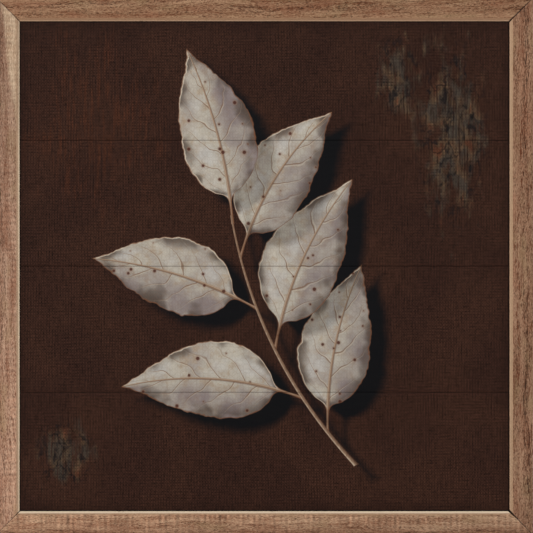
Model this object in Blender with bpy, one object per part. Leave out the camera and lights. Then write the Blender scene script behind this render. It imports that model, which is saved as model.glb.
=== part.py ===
"""A square picture printed on four wooden planks, in a mitred wooden frame that hangs on a wall.

Metres, +Z up. The picture faces -Y, and the wall behind it is the plane y = 0. The origin is the
point of that plane where the nail in the wall carries the notch of the sawtooth hanger. Pieces are
drawn round the picture's centre, and an empty there carries them all.
"""

import math

import bmesh
import bpy
from mathutils import Matrix, Vector

# Frame: four mitred rails of one L-shaped moulding
OUTER = 0.610  # outside of the frame, across and up: 24 in
RAIL_FACE = 0.0269  # width of a rail, seen from the front
RAIL_DEPTH = 0.038  # front to back
LIP = 0.005  # thickness of the lip in front of the planks
RABBET = 0.0087  # width of the step behind the lip
INNER_CHAMFER = 0.0036  # width and depth of the chamfer along the inner edge
OUTER_EASE = 0.0012  # radius of the eased outer edge
EASE_STEPS = 3

# Clearance between pieces that touch
TOUCH = 0.0003

# Planks: the printed panel, behind the lip. Each laps over the one below it
PLANK_COUNT = 4
PLANK_PITCH = 0.1431
PLANK_GROOVE = TOUCH
PLANK_THICK = 0.010
PLANK_CHAMFER = 0.0004
LAP_LONG = 0.005

# Battens: two uprights screwed to the back of the planks
BATTEN_WIDE = 0.038
BATTEN_THICK = 0.019
BATTEN_X = 0.165
BATTEN_END_GAP = 0.002
BATTEN_CHAMFER = 0.001

# Screws through the battens: two in each plank on each batten
SCREW_HEAD_R = 0.0036
SCREW_SHANK_R = 0.00175
SCREW_LENGTH = 0.025
SCREW_TIP = 0.004
SCREW_RIM = 0.0004
SCREW_SUNK = 0.0002
SCREW_SPREAD = 0.045  # from a plank's centre line
RECESS_LONG = 0.0040
RECESS_WIDE = 0.0009
RECESS_DEEP = 0.0013
SCREW_SIDES = 12

# Framer's points: thin steel tabs driven into the rabbet, flat on the back of the planks
POINT_LONG = 0.016
POINT_WIDE = 0.006
POINT_THICK = 0.0005
POINT_DRIVEN = 0.007
POINT_TAPER = 0.004
POINT_TIP_WIDE = 0.0015
SHORT_SIDE_POINTS_X = 0.085  # on the top and bottom rails, from the middle

# V-nails: two across each mitre, in the back of the frame
V_ARM = 0.0046
V_THICK = 0.0006
V_LONG = 0.010
V_SUNK = 0.0002
V_FROM_CORNER = (0.0056, 0.0112)  # how far each apex is from both outer edges

# Sawtooth hanger on the back of the top rail, and its two nails
STRIP_THICK = 0.0009
STRIP_RAISE = 0.0014
STRIP_HALF = 0.0275
STRIP_TAB_FROM = 0.0195
STRIP_RAISED_TO = 0.0165
STRIP_TOP = 0.0065
TOOTH_DEEP = 0.003
TOOTH_PITCH = 0.004
TOOTH_NOTCHES_A_SIDE = 3
STRIP_CLIP = 0.0018
NAIL_X = 0.023
NAIL_HEAD_R = 0.0022
NAIL_HEAD_THICK = 0.0008
NAIL_SHANK_R = 0.0009
NAIL_LONG = 0.008
NAIL_SIDES = 12

# Bumpers: two soft discs at the bottom corners, which hold the frame off the wall
BUMPER_R = 0.005
BUMPER_THICK = 0.003
BUMPER_EASE = 0.0007
BUMPER_FROM_SIDE = 0.034
BUMPER_SIDES = 24

# Places worked out from the dimensions above
BACK_Y = -(BUMPER_THICK + TOUCH)
FRONT_Y = BACK_Y - RAIL_DEPTH
RAIL_LEG = RAIL_FACE - RABBET
RABBET_HALF = OUTER / 2 - RAIL_LEG
PLANK_FRONT_Y = FRONT_Y + LIP + TOUCH
PLANK_BACK_Y = PLANK_FRONT_Y + PLANK_THICK
LAP_Y = PLANK_FRONT_Y + PLANK_THICK / 2
PLANK_LONG = PLANK_COUNT * PLANK_PITCH
BATTEN_FRONT_Y = PLANK_BACK_Y + TOUCH
BATTEN_BACK_Y = BATTEN_FRONT_Y + BATTEN_THICK
BATTEN_LONG = 2 * (RABBET_HALF - BATTEN_END_GAP)
STRIP_MID_Z = (STRIP_TOP - TOOTH_DEEP) / 2
TOP_Z = STRIP_MID_Z + RAIL_LEG / 2
CENTRE_Z = TOP_Z - OUTER / 2
HANGER_FACE_Y = BACK_Y + TOUCH

# The sides and corners in the order that quarter turns about +Y take the bottom rail and the
# bottom left corner to them
SIDES = ("bottom", "left", "top", "right")
CORNERS = ("bottom_left", "top_left", "top_right", "bottom_right")

COLOURS = {
    "frame_wood": ((0.28, 0.16, 0.095), 0.6, 0.0),
    "printed_wood": ((0.040, 0.018, 0.012), 0.55, 0.0),
    "raw_pine": ((0.60, 0.43, 0.25), 0.75, 0.0),
    "zinc_steel": ((0.62, 0.61, 0.58), 0.35, 1.0),
    "black_rubber": ((0.035, 0.035, 0.038), 0.95, 0.0),
}


def clear_scene():
    for obj in list(bpy.data.objects):
        bpy.data.objects.remove(obj)


def material(name):
    found = bpy.data.materials.get(name)
    if found:
        return found
    colour, roughness, metallic = COLOURS[name]
    made = bpy.data.materials.new(name)
    made.use_nodes = True
    shader = made.node_tree.nodes["Principled BSDF"]
    shader.inputs["Base Color"].default_value = (*colour, 1.0)
    shader.inputs["Roughness"].default_value = roughness
    shader.inputs["Metallic"].default_value = metallic
    return made


def mesh_from(bm, name, slot=None):
    """The bmesh as a mesh with its faces pointing out."""
    bmesh.ops.recalc_face_normals(bm, faces=bm.faces)
    mesh = bpy.data.meshes.new(name)
    bm.to_mesh(mesh)
    bm.free()
    if slot:
        mesh.materials.append(material(slot))
    return mesh


def place(name, mesh, carrier, at=(0, 0, 0), turn=0.0):
    obj = bpy.data.objects.new(name, mesh)
    bpy.context.scene.collection.objects.link(obj)
    obj.parent = carrier
    obj.location = at
    obj.rotation_euler = (0, turn, 0)
    return obj


def place_cutter(name, bm, carrier, turn=0.0):
    cutter = place(name, mesh_from(bm, name), carrier, turn=turn)
    cutter.hide_render = True
    cutter.display_type = "WIRE"
    return cutter


def cut(obj, cutter):
    modifier = obj.modifiers.new(cutter.name, "BOOLEAN")
    modifier.operation = "DIFFERENCE"
    modifier.object = cutter


def add_prism(bm, outline, low_y, high_y):
    """Adds a solid whose outline, a list of (x, z), runs from low_y to high_y."""
    face = bm.faces.new([bm.verts.new((x, low_y, z)) for x, z in outline])
    extruded = bmesh.ops.extrude_face_region(bm, geom=[face])
    moved = [v for v in extruded["geom"] if isinstance(v, bmesh.types.BMVert)]
    bmesh.ops.translate(bm, verts=moved, vec=(0, high_y - low_y, 0))


def add_turned(bm, profile, sides, at=(0, 0, 0)):
    """Adds a solid turned about the line along Y through at, from a profile of (radius, y)."""
    verts = [bm.verts.new((at[0] + r, y, at[2])) for r, y in profile]
    edges = [bm.edges.new(pair) for pair in zip(verts, verts[1:])]
    spun = bmesh.ops.spin(
        bm, geom=verts + edges, cent=at, axis=(0, 1, 0), angle=2 * math.pi, steps=sides
    )
    turned = set(verts)
    turned.update(v for v in spun["geom_last"] if isinstance(v, bmesh.types.BMVert))
    linked = set()
    stack = list(turned)
    while stack:
        vert = stack.pop()
        if vert not in linked:
            linked.add(vert)
            stack.extend(edge.other_vert(vert) for edge in vert.link_edges)
    bmesh.ops.remove_doubles(bm, verts=list(linked), dist=1e-6)


def smooth(mesh, degrees=35):
    mesh.shade_smooth()
    mesh.set_sharp_from_angle(angle=math.radians(degrees))
    return mesh


def applied(obj):
    """A new mesh with the object's modifiers applied."""
    bpy.context.view_layer.update()
    graph = bpy.context.evaluated_depsgraph_get()
    return bpy.data.meshes.new_from_object(obj.evaluated_get(graph))


def arc(centre, radius, start, end, steps):
    """Points of a circle's arc in the plane of (across, y), from start to end in degrees."""
    turns = (math.radians(start + (end - start) * i / steps) for i in range(steps + 1))
    return [(centre[0] + radius * math.cos(t), centre[1] + radius * math.sin(t)) for t in turns]


def rail_profile():
    """The moulding's section as (distance in from the outer edge, y)."""
    ease_at = (OUTER_EASE, FRONT_Y + OUTER_EASE)
    return [
        (0, BACK_Y),
        *arc(ease_at, OUTER_EASE, 180, 270, EASE_STEPS),
        (RAIL_FACE - INNER_CHAMFER, FRONT_Y),
        (RAIL_FACE, FRONT_Y + INNER_CHAMFER),
        (RAIL_FACE, FRONT_Y + LIP),
        (RAIL_LEG, FRONT_Y + LIP),
        (RAIL_LEG, BACK_Y),
    ]


def rail_mesh(name):
    """The bottom rail, mitred at both ends, with half the mitre's gap taken off each."""
    bm = bmesh.new()
    half_gap = TOUCH / math.sqrt(2)
    ends = []
    for side in (-1, 1):
        ends.append(
            [
                bm.verts.new((side * (OUTER / 2 - across - half_gap), y, across - OUTER / 2))
                for across, y in rail_profile()
            ]
        )
    for end in ends:
        bm.faces.new(end)
    count = len(ends[0])
    for i in range(count):
        j = (i + 1) % count
        bm.faces.new((ends[0][i], ends[0][j], ends[1][j], ends[1][i]))
    return smooth(mesh_from(bm, name, "frame_wood"), 25)


def plank_mesh(number):
    """One plank, its long front edges chamfered. It has a tongue along the back half of its upper
    edge and a rebate along its lower one, apart from the edges that meet the frame."""
    bm = bmesh.new()
    half_long = PLANK_LONG / 2
    half_wide = (PLANK_PITCH - PLANK_GROOVE) / 2
    edge = PLANK_CHAMFER
    section = [
        (PLANK_FRONT_Y + edge, -half_wide),
        (PLANK_FRONT_Y, -half_wide + edge),
        (PLANK_FRONT_Y, half_wide - edge),
        (PLANK_FRONT_Y + edge, half_wide),
    ]
    if number > 1:
        tongue_y = LAP_Y + TOUCH / 2
        section += [(tongue_y, half_wide), (tongue_y, half_wide + LAP_LONG)]
        section += [(PLANK_BACK_Y, half_wide + LAP_LONG)]
    else:
        section += [(PLANK_BACK_Y, half_wide)]
    if number < PLANK_COUNT:
        rebate_y, rebate_z = LAP_Y - TOUCH / 2, LAP_LONG + TOUCH - PLANK_GROOVE - half_wide
        section += [(PLANK_BACK_Y, rebate_z), (rebate_y, rebate_z), (rebate_y, -half_wide)]
    else:
        section += [(PLANK_BACK_Y, -half_wide)]
    face = bm.faces.new([bm.verts.new((-half_long, y, z)) for y, z in section])
    extruded = bmesh.ops.extrude_face_region(bm, geom=[face])
    moved = [v for v in extruded["geom"] if isinstance(v, bmesh.types.BMVert)]
    bmesh.ops.translate(bm, verts=moved, vec=(2 * half_long, 0, 0))
    return mesh_from(bm, f"plank_{number}", "printed_wood")


def batten_mesh():
    """One upright, with its back edges chamfered."""
    bm = bmesh.new()
    half, edge = BATTEN_WIDE / 2, BATTEN_CHAMFER
    section = [
        (-half, BATTEN_FRONT_Y),
        (half, BATTEN_FRONT_Y),
        (half, BATTEN_BACK_Y - edge),
        (half - edge, BATTEN_BACK_Y),
        (edge - half, BATTEN_BACK_Y),
        (-half, BATTEN_BACK_Y - edge),
    ]
    face = bm.faces.new([bm.verts.new((x, y, -BATTEN_LONG / 2)) for x, y in section])
    extruded = bmesh.ops.extrude_face_region(bm, geom=[face])
    moved = [v for v in extruded["geom"] if isinstance(v, bmesh.types.BMVert)]
    bmesh.ops.translate(bm, verts=moved, vec=(0, 0, BATTEN_LONG))
    return mesh_from(bm, "batten", "raw_pine")


def screw_profile(clearance=0.0):
    """A countersunk screw's outline from the middle of its head to its tip, as (radius, y)."""
    head_y = BATTEN_BACK_Y - SCREW_SUNK
    neck_y = head_y - SCREW_RIM - (SCREW_HEAD_R - SCREW_SHANK_R)
    tip_y = head_y - SCREW_LENGTH
    out_y = BATTEN_BACK_Y + 0.001 if clearance else head_y
    return [
        (0, out_y),
        (SCREW_HEAD_R + clearance, out_y),
        (SCREW_HEAD_R + clearance, head_y - SCREW_RIM),
        (SCREW_SHANK_R + clearance, neck_y),
        (SCREW_SHANK_R + clearance, tip_y + SCREW_TIP),
        (0, tip_y - clearance),
    ]


def screw_mesh(carrier):
    """A screw with a cross recess in its head."""
    bm = bmesh.new()
    add_turned(bm, screw_profile(), SCREW_SIDES)
    whole = place("screw_blank", mesh_from(bm, "screw_blank", "zinc_steel"), carrier)
    long, wide = RECESS_LONG / 2, RECESS_WIDE / 2
    cross = [(wide, wide), (wide, long), (-wide, long), (-wide, wide)]
    cross += [(-long, wide), (-long, -wide), (-wide, -wide), (-wide, -long)]
    cross += [(wide, -long), (wide, -wide), (long, -wide), (long, wide)]
    head_y = BATTEN_BACK_Y - SCREW_SUNK
    bm = bmesh.new()
    add_prism(bm, cross, head_y - RECESS_DEEP, head_y + 0.001)
    cutter = place_cutter("cut_recess", bm, carrier)
    cut(whole, cutter)
    mesh = smooth(applied(whole))
    for helper in (whole, cutter):
        bpy.data.objects.remove(helper)
    return mesh


def plank_z(number):
    """The height of a plank's centre line from the picture's centre. Plank 1 is the top one."""
    return ((PLANK_COUNT + 1) / 2 - number) * PLANK_PITCH


def screw_heights():
    planks = range(1, PLANK_COUNT + 1)
    return [plank_z(n) + sign * SCREW_SPREAD for n in planks for sign in (1, -1)]


def point_outline(clearance=0.0):
    """A framer's point seen from behind, over the bottom rabbet wall: (across, up)."""
    wall = RAIL_LEG - OUTER / 2
    half, tip = POINT_WIDE / 2 + clearance, POINT_TIP_WIDE / 2 + clearance
    low = wall - POINT_DRIVEN - clearance
    high = low + POINT_LONG if not clearance else wall + 0.002
    shoulder = low + POINT_TAPER
    return [(-tip, low), (tip, low), (half, shoulder), (half, high), (-half, high), (-half, shoulder)]


def points_along(side):
    """Where the framer's points are along a rail: at each plank's end, or two on a level rail."""
    if side in ("left", "right"):
        return [plank_z(n) for n in range(1, PLANK_COUNT + 1)]
    return [SHORT_SIDE_POINTS_X, -SHORT_SIDE_POINTS_X]


def v_outline(apex, clearance=0.0):
    """A V whose arms run from the apex along both rails, away from the bottom left corner."""
    near = -OUTER / 2 + apex - V_THICK / 2 - clearance
    far = -OUTER / 2 + apex + V_THICK / 2 + clearance
    end = -OUTER / 2 + apex + V_ARM + clearance
    return [(near, near), (end, near), (end, far), (far, far), (far, end), (near, end)]


def strip_stations():
    """The hanger strip from left to right as (x, lower z, upper z, raise off the rail)."""
    half = [(STRIP_HALF, STRIP_CLIP - TOOTH_DEEP, STRIP_TOP - STRIP_CLIP, 0.0)]
    half.append((STRIP_HALF - STRIP_CLIP, -TOOTH_DEEP, STRIP_TOP, 0.0))
    half.append((STRIP_TAB_FROM, -TOOTH_DEEP, STRIP_TOP, 0.0))
    half.append((STRIP_RAISED_TO, -TOOTH_DEEP, STRIP_TOP, STRIP_RAISE))
    for notch in range(TOOTH_NOTCHES_A_SIDE, 0, -1):
        half.append(((notch + 0.5) * TOOTH_PITCH, -TOOTH_DEEP, STRIP_TOP, STRIP_RAISE))
        half.append((notch * TOOTH_PITCH, 0.0, STRIP_TOP, STRIP_RAISE))
    half.append((TOOTH_PITCH / 2, -TOOTH_DEEP, STRIP_TOP, STRIP_RAISE))
    left = [(-x, low, high, up) for x, low, high, up in half]
    return [*left, (0.0, 0.0, STRIP_TOP, STRIP_RAISE), *reversed(half)]


def hanger_mesh():
    """The strip: flat tabs at its ends, a raised middle, and teeth along its lower edge."""
    bm = bmesh.new()
    rings = []
    for x, low, high, up in strip_stations():
        near, far = HANGER_FACE_Y + up, HANGER_FACE_Y + up + STRIP_THICK
        corners = ((near, low), (near, high), (far, high), (far, low))
        rings.append([bm.verts.new((x, y, z - CENTRE_Z)) for y, z in corners])
    bm.faces.new(rings[0])
    bm.faces.new(rings[-1])
    for a, b in zip(rings, rings[1:]):
        for i in range(len(a)):
            j = (i + 1) % len(a)
            bm.faces.new((a[i], a[j], b[j], b[i]))
    return mesh_from(bm, "sawtooth_hanger", "zinc_steel")


def nail_profile():
    head_y = HANGER_FACE_Y + STRIP_THICK + TOUCH
    tip_y = BACK_Y - NAIL_LONG
    return [
        (0, head_y + NAIL_HEAD_THICK),
        (NAIL_HEAD_R * 0.75, head_y + NAIL_HEAD_THICK),
        (NAIL_HEAD_R, head_y + NAIL_HEAD_THICK / 2),
        (NAIL_HEAD_R, head_y),
        (NAIL_SHANK_R, head_y),
        (NAIL_SHANK_R, tip_y + NAIL_SHANK_R),
        (0, tip_y),
    ]


def bumper_profile():
    return [
        (0, 0),
        (BUMPER_R - BUMPER_EASE, 0),
        (BUMPER_R, -BUMPER_EASE),
        (BUMPER_R, -BUMPER_THICK),
        (0, -BUMPER_THICK),
    ]


def build_planks(centre):
    return [
        place(f"plank_{n}", plank_mesh(n), centre, (0, 0, plank_z(n)))
        for n in range(1, PLANK_COUNT + 1)
    ]


def build_battens(centre):
    mesh = batten_mesh()
    return [
        place("batten_left", mesh, centre, (-BATTEN_X, 0, 0)),
        place("batten_right", mesh, centre, (BATTEN_X, 0, 0)),
    ]


def build_screws(centre, drilled):
    """The screws, and their clearance holes through the battens and into the planks."""
    mesh = screw_mesh(centre)
    holes = bmesh.new()
    for side, x in (("left", -BATTEN_X), ("right", BATTEN_X)):
        for number, z in enumerate(screw_heights(), 1):
            place(f"batten_screw_{side}_{number}", mesh, centre, (x, 0, z))
            add_turned(holes, screw_profile(TOUCH), SCREW_SIDES, (x, 0, z))
    cutter = place_cutter("cut_screw_holes", holes, centre)
    for obj in drilled:
        cut(obj, cutter)


def build_rails(centre):
    quarter = math.pi / 2
    return [
        place(f"frame_rail_{side}", rail_mesh(f"rail_{side}"), centre, turn=i * quarter)
        for i, side in enumerate(SIDES)
    ]


def build_points(centre, rails):
    """Framer's points and their slots, drawn over the bottom rail and turned to each side."""
    low_y = PLANK_BACK_Y + TOUCH
    high_y = low_y + POINT_THICK
    bm = bmesh.new()
    add_prism(bm, point_outline(), low_y, high_y)
    mesh = mesh_from(bm, "framer_point", "zinc_steel")
    for i, side in enumerate(SIDES):
        turn = i * math.pi / 2
        slots = bmesh.new()
        for number, along in enumerate(points_along(side), 1):
            shift = Matrix.Rotation(turn, 4, "Y") @ Vector((along, 0, 0))
            place(f"framer_point_{side}_{number}", mesh, centre, shift, turn)
            outline = [(x + along, z) for x, z in point_outline(TOUCH)]
            add_prism(slots, outline, low_y - TOUCH, high_y + TOUCH)
        cut(rails[i], place_cutter(f"cut_point_slots_{side}", slots, centre, turn))


def build_v_nails(centre, rails):
    """V-nails and their slots, drawn at the bottom left corner and turned to each corner."""
    for i, corner in enumerate(CORNERS):
        turn = i * math.pi / 2
        slots = bmesh.new()
        for number, apex in enumerate(V_FROM_CORNER, 1):
            bm = bmesh.new()
            add_prism(bm, v_outline(apex), BACK_Y - V_SUNK - V_LONG, BACK_Y - V_SUNK)
            mesh = mesh_from(bm, f"v_nail_{number}", "zinc_steel")
            place(f"v_nail_{corner}_{number}", mesh, centre, turn=turn)
            deep_y = BACK_Y - V_SUNK - V_LONG - TOUCH
            add_prism(slots, v_outline(apex, TOUCH), deep_y, BACK_Y + 0.001)
        cutter = place_cutter(f"cut_v_slots_{corner}", slots, centre, turn)
        cut(rails[i], cutter)
        cut(rails[(i + 1) % len(rails)], cutter)


def build_hanger(centre, top_rail):
    """The sawtooth hanger, and the nails that hold it through its tabs."""
    strip = place("sawtooth_hanger", hanger_mesh(), centre)
    nail_z = STRIP_MID_Z - CENTRE_Z
    bm = bmesh.new()
    add_turned(bm, nail_profile(), NAIL_SIDES)
    mesh = smooth(mesh_from(bm, "hanger_nail", "zinc_steel"))
    holes = bmesh.new()
    hole_r = NAIL_SHANK_R + TOUCH
    deep_y = BACK_Y - NAIL_LONG - TOUCH
    out_y = HANGER_FACE_Y + STRIP_THICK + 0.001
    for side, x in (("left", -NAIL_X), ("right", NAIL_X)):
        place(f"hanger_nail_{side}", mesh, centre, (x, 0, nail_z))
        hole = [(0, out_y), (hole_r, out_y), (hole_r, deep_y), (0, deep_y)]
        add_turned(holes, hole, NAIL_SIDES, (x, 0, nail_z))
    cutter = place_cutter("cut_nail_holes", holes, centre)
    cut(strip, cutter)
    cut(top_rail, cutter)


def build_bumpers(centre):
    bm = bmesh.new()
    add_turned(bm, bumper_profile(), BUMPER_SIDES)
    mesh = smooth(mesh_from(bm, "wall_bumper", "black_rubber"))
    x = OUTER / 2 - BUMPER_FROM_SIDE
    z = RAIL_LEG / 2 - OUTER / 2
    place("wall_bumper_left", mesh, centre, (-x, 0, z))
    place("wall_bumper_right", mesh, centre, (x, 0, z))


def main():
    clear_scene()
    centre = bpy.data.objects.new("picture_centre", None)
    bpy.context.scene.collection.objects.link(centre)
    centre.location = (0, 0, CENTRE_Z)
    rails = build_rails(centre)
    build_v_nails(centre, rails)
    build_points(centre, rails)
    build_hanger(centre, rails[SIDES.index("top")])
    build_screws(centre, build_planks(centre) + build_battens(centre))
    build_bumpers(centre)


main()
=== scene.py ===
"""The looks of a square picture on planks: its frame's wood, its print, the back, light and camera.

Metres in the mesh code, millimetres in the materials. The picture faces -Y.
"""

import math
import random

import bmesh
import bpy
from mathutils import Matrix, Vector, noise


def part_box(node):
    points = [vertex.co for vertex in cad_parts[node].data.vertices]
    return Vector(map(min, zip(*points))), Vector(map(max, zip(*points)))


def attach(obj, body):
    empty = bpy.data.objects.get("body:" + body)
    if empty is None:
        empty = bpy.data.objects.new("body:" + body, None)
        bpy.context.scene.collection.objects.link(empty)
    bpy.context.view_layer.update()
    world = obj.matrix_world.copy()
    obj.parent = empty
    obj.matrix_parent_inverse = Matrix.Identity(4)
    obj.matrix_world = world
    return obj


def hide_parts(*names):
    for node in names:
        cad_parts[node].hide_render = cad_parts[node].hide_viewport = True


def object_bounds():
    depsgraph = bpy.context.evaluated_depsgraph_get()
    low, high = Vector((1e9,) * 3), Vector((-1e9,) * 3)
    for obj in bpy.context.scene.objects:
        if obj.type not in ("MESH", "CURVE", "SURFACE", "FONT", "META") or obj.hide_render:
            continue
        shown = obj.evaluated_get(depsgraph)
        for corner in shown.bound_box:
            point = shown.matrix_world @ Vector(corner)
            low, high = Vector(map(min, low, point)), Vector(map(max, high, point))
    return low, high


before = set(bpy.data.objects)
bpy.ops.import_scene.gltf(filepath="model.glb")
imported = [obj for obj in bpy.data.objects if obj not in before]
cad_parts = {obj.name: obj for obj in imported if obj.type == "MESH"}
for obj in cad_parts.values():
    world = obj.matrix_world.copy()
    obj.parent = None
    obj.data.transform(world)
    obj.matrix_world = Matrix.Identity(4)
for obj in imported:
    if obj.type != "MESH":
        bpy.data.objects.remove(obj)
cad_low, cad_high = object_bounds()

# Sizes that the frame gives
RAIL_LOW, RAIL_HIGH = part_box("frame_rail_left")
OUTER = -2 * RAIL_LOW[0]
RAIL_FACE = RAIL_HIGH[0] - RAIL_LOW[0]
FRONT_Y, BACK_Y = RAIL_LOW[1], RAIL_HIGH[1]
CENTRE_Z = (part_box("frame_rail_top")[1][2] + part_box("frame_rail_bottom")[0][2]) / 2
CENTRE = Vector((0, 0, CENTRE_Z))
PLANK_LOW, PLANK_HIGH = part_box("plank_1")
PLANK_FRONT_Y, PLANK_BACK_Y = PLANK_LOW[1], PLANK_HIGH[1]
PLANK_HALF_LONG = PLANK_HIGH[0]
STRIP_LOW, STRIP_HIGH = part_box("sawtooth_hanger")

# Half the outer size and a rail's face in millimetres, for the materials
MM = 1000.0
HALF_MM = OUTER / 2 * MM
FACE_MM = RAIL_FACE * MM

# Sizes of the moulding, the planks and the fixings, as the solids have them
TOUCH = 0.0003
LIP = 0.005
RABBET = 0.0087
INNER_CHAMFER = 0.0036
OUTER_EASE = 0.0012
PLANK_COUNT = 4
PLANK_PITCH = 0.1431
LAP_LONG = 0.005
RAIL_LEG = RAIL_FACE - RABBET
SCREW_RIM = 0.0004
SCREW_SHANK_R = 0.00175
SCREW_TIP = 0.004
RECESS_DEEP = 0.0013
STRIP_THICK = 0.0009
STRIP_RAISE = 0.0014
STRIP_TAB_FROM = 0.0195
STRIP_RAISED_TO = 0.0165
STRIP_CLIP = 0.0018
TOOTH_DEEP = 0.003
TOOTH_PITCH = 0.004
TOOTH_NOTCHES_A_SIDE = 3

# The sides and corners in the order that quarter turns about +Y take the bottom rail and the
# bottom left corner to them
SIDES = ("bottom", "left", "top", "right")
CORNERS = ("bottom_left", "top_left", "top_right", "bottom_right")

# How far the frame's mesh is divided, and how deep its wear is
EDGE_ROUND = 0.0003
RAIL_STATIONS = 380
RAIL_STEP = 0.0019
WAVE_DEEP = 0.00016
NICK_DEEP = 0.0009
NICK_REACH = 0.0016
CHATTER_PITCH = 0.0062
CHATTER_DEEP = {"bottom": 0.00006, "left": 0.00003, "top": 0.00001, "right": 0.00002}

# Each mitre: how far it gapes at the opening, and how dark its line is
MITRES = {
    "bottom_left": (0.0006, 0.3),
    "top_left": (0.0004, 0.35),
    "top_right": (0.0007, 0.85),
    "bottom_right": (0.002, 0.6),
}
MITRE_SHUT = 0.00004
MITRE_REACH = 0.0095

PLANK_STATIONS = 150
PLANK_STEP = 0.005
PLANK_ROUND = 0.00025
PLANK_GROOVE = 0.0004
PLANK_WAVE = 0.00005
PLANK_RAGGED = 0.0001
PLANK_HALF = (PLANK_PITCH - PLANK_GROOVE) / 2
PLANK_LAP_Y = (PLANK_FRONT_Y + PLANK_BACK_Y) / 2

# The photograph's frame: its size in pixels, and the millimetres that one pixel covers
PHOTO_PIXELS = 533
MM_PER_PIXEL = 1.1343
CAMERA_LENS = 240.0
CAMERA_SENSOR = 36.0
# How far the picture's centre lies from the photograph's, in pixels
CENTRE_LEFT_PIXELS = 1.95
CENTRE_UP_PIXELS = 0.3

# Each light: its name, place from the picture's centre, size and watts
LIGHTS = [
    ("key", (-1.5, -4.3, 1.7), 1.6, 98.0),
    ("fill", (1.5, -4.0, 0.4), 3.0, 46.0),
    ("back_left", (-1.6, 2.6, 1.3), 1.8, 56.0),
    ("back_right", (1.9, 2.4, 0.8), 1.8, 28.0),
]
SKY_COLOUR = (0.97, 0.96, 0.96, 1.0)
SKY_STRENGTH = 0.29
FLOOR_HALF = 6.0


class Num:
    """A number that a node gives. Arithmetic with it makes further nodes."""

    def __init__(self, graph, socket):
        self.graph = graph
        self.socket = socket

    def apply(self, operation, *others):
        return self.graph.math(operation, self, *others)

    def __add__(self, other):
        return self.apply("ADD", other)

    def __sub__(self, other):
        return self.apply("SUBTRACT", other)

    def __rsub__(self, other):
        return self.graph.math("SUBTRACT", other, self)

    def __mul__(self, other):
        return self.apply("MULTIPLY", other)

    __rmul__ = __mul__

    def __truediv__(self, other):
        return self.apply("DIVIDE", other)

    def __neg__(self):
        return self * -1.0

    def __abs__(self):
        return self.apply("ABSOLUTE")

    def wave(self):
        """A sine with one wave to each unit."""
        return (self * (2 * math.pi)).apply("SINE")

    def ramp(self, low, high, to_low=0.0, to_high=1.0, smooth=True):
        """Mapped from low..high to to_low..to_high, and held there outside."""
        kind = "SMOOTHSTEP" if smooth else "LINEAR"
        inputs = {"Value": self, "From Min": low, "From Max": high}
        inputs |= {"To Min": to_low, "To Max": to_high}
        return self.graph.number("ShaderNodeMapRange", inputs, interpolation_type=kind)

    def fall(self, low, high, top=1.0):
        """The top value up to low, falling to 0 at high."""
        return self.ramp(low, high, top, 0.0)

    def band(self, middle, half, soft):
        """1 within half of middle, falling to 0 over soft."""
        return abs(self - middle).fall(half, half + soft)

    def curve(self, points):
        """Mapped by a smooth curve through points."""
        made = self.graph.node("ShaderNodeFloatCurve", {"Value": self})
        line = made.mapping.curves[0]
        for spot, place in zip(line.points, (points[0], points[-1])):
            spot.location = place
        for x, y in points[1:-1]:
            line.points.new(x, y)
        made.mapping.extend = "HORIZONTAL"
        made.mapping.update()
        return Num(self.graph, made.outputs[0])


class Graph:
    """Builds a material's nodes by plain calls."""

    def __init__(self, name):
        self.material = bpy.data.materials.new(name)
        self.material.use_nodes = True
        self.tree = self.material.node_tree
        self.shader = self.tree.nodes["Principled BSDF"]

    def put(self, socket, value):
        if isinstance(value, Num):
            self.tree.links.new(value.socket, socket)
        elif isinstance(value, bpy.types.NodeSocket):
            self.tree.links.new(value, socket)
        elif socket.type == "RGBA":
            socket.default_value = (*value, 1.0)
        else:
            socket.default_value = value

    def node(self, kind, inputs=(), **settings):
        made = self.tree.nodes.new(kind)
        for key, value in settings.items():
            setattr(made, key, value)
        for key, value in dict(inputs).items():
            self.put(made.inputs[key], value)
        return made

    def number(self, kind, inputs, **settings):
        """The number that a new node gives."""
        return Num(self, self.node(kind, inputs, **settings).outputs[0])

    def math(self, operation, *values):
        return self.number("ShaderNodeMath", dict(enumerate(values)), operation=operation)

    def position(self):
        """The point in millimetres from the picture's centre: right, back and up."""
        place = self.node("ShaderNodeTexCoord").outputs["Object"]
        parts = self.node("ShaderNodeSeparateXYZ", {0: place}).outputs
        right, back, up = (Num(self, part) for part in parts)
        return right * MM, back * MM, (up - CENTRE_Z) * MM

    def vector(self, x, y, z=0.0):
        return self.node("ShaderNodeCombineXYZ", {0: x, 1: y, 2: z}).outputs[0]

    def mix(self, factor, a, b, mode="MIX"):
        settings = {"data_type": "RGBA", "blend_type": mode, "clamp_factor": True}
        return self.node("ShaderNodeMix", {0: factor, 6: a, 7: b}, **settings).outputs[2]

    def finish(self, colour, roughness, height=None, relief=0.0, specular=0.5, metallic=0.0):
        """Gives the material, with heights from 0 to 1 as a relief of so many millimetres."""
        self.put(self.shader.inputs["Base Color"], colour)
        self.put(self.shader.inputs["Roughness"], roughness)
        self.shader.inputs["Specular IOR Level"].default_value = specular
        self.shader.inputs["Metallic"].default_value = metallic
        if height is not None:
            inputs = {"Height": height, "Strength": 1.0, "Distance": relief / MM}
            self.put(self.shader.inputs["Normal"], self.node("ShaderNodeBump", inputs).outputs[0])
        return self.material


def mix(factor, a, b):
    """The colour a where factor is 0, and b where it is 1."""
    return factor.graph.mix(factor, a, b)


def blend(factor, a, b):
    """The number a where factor is 0, and b where it is 1."""
    return factor.graph.number("ShaderNodeMix", {0: factor, 2: a, 3: b}, data_type="FLOAT")


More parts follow.
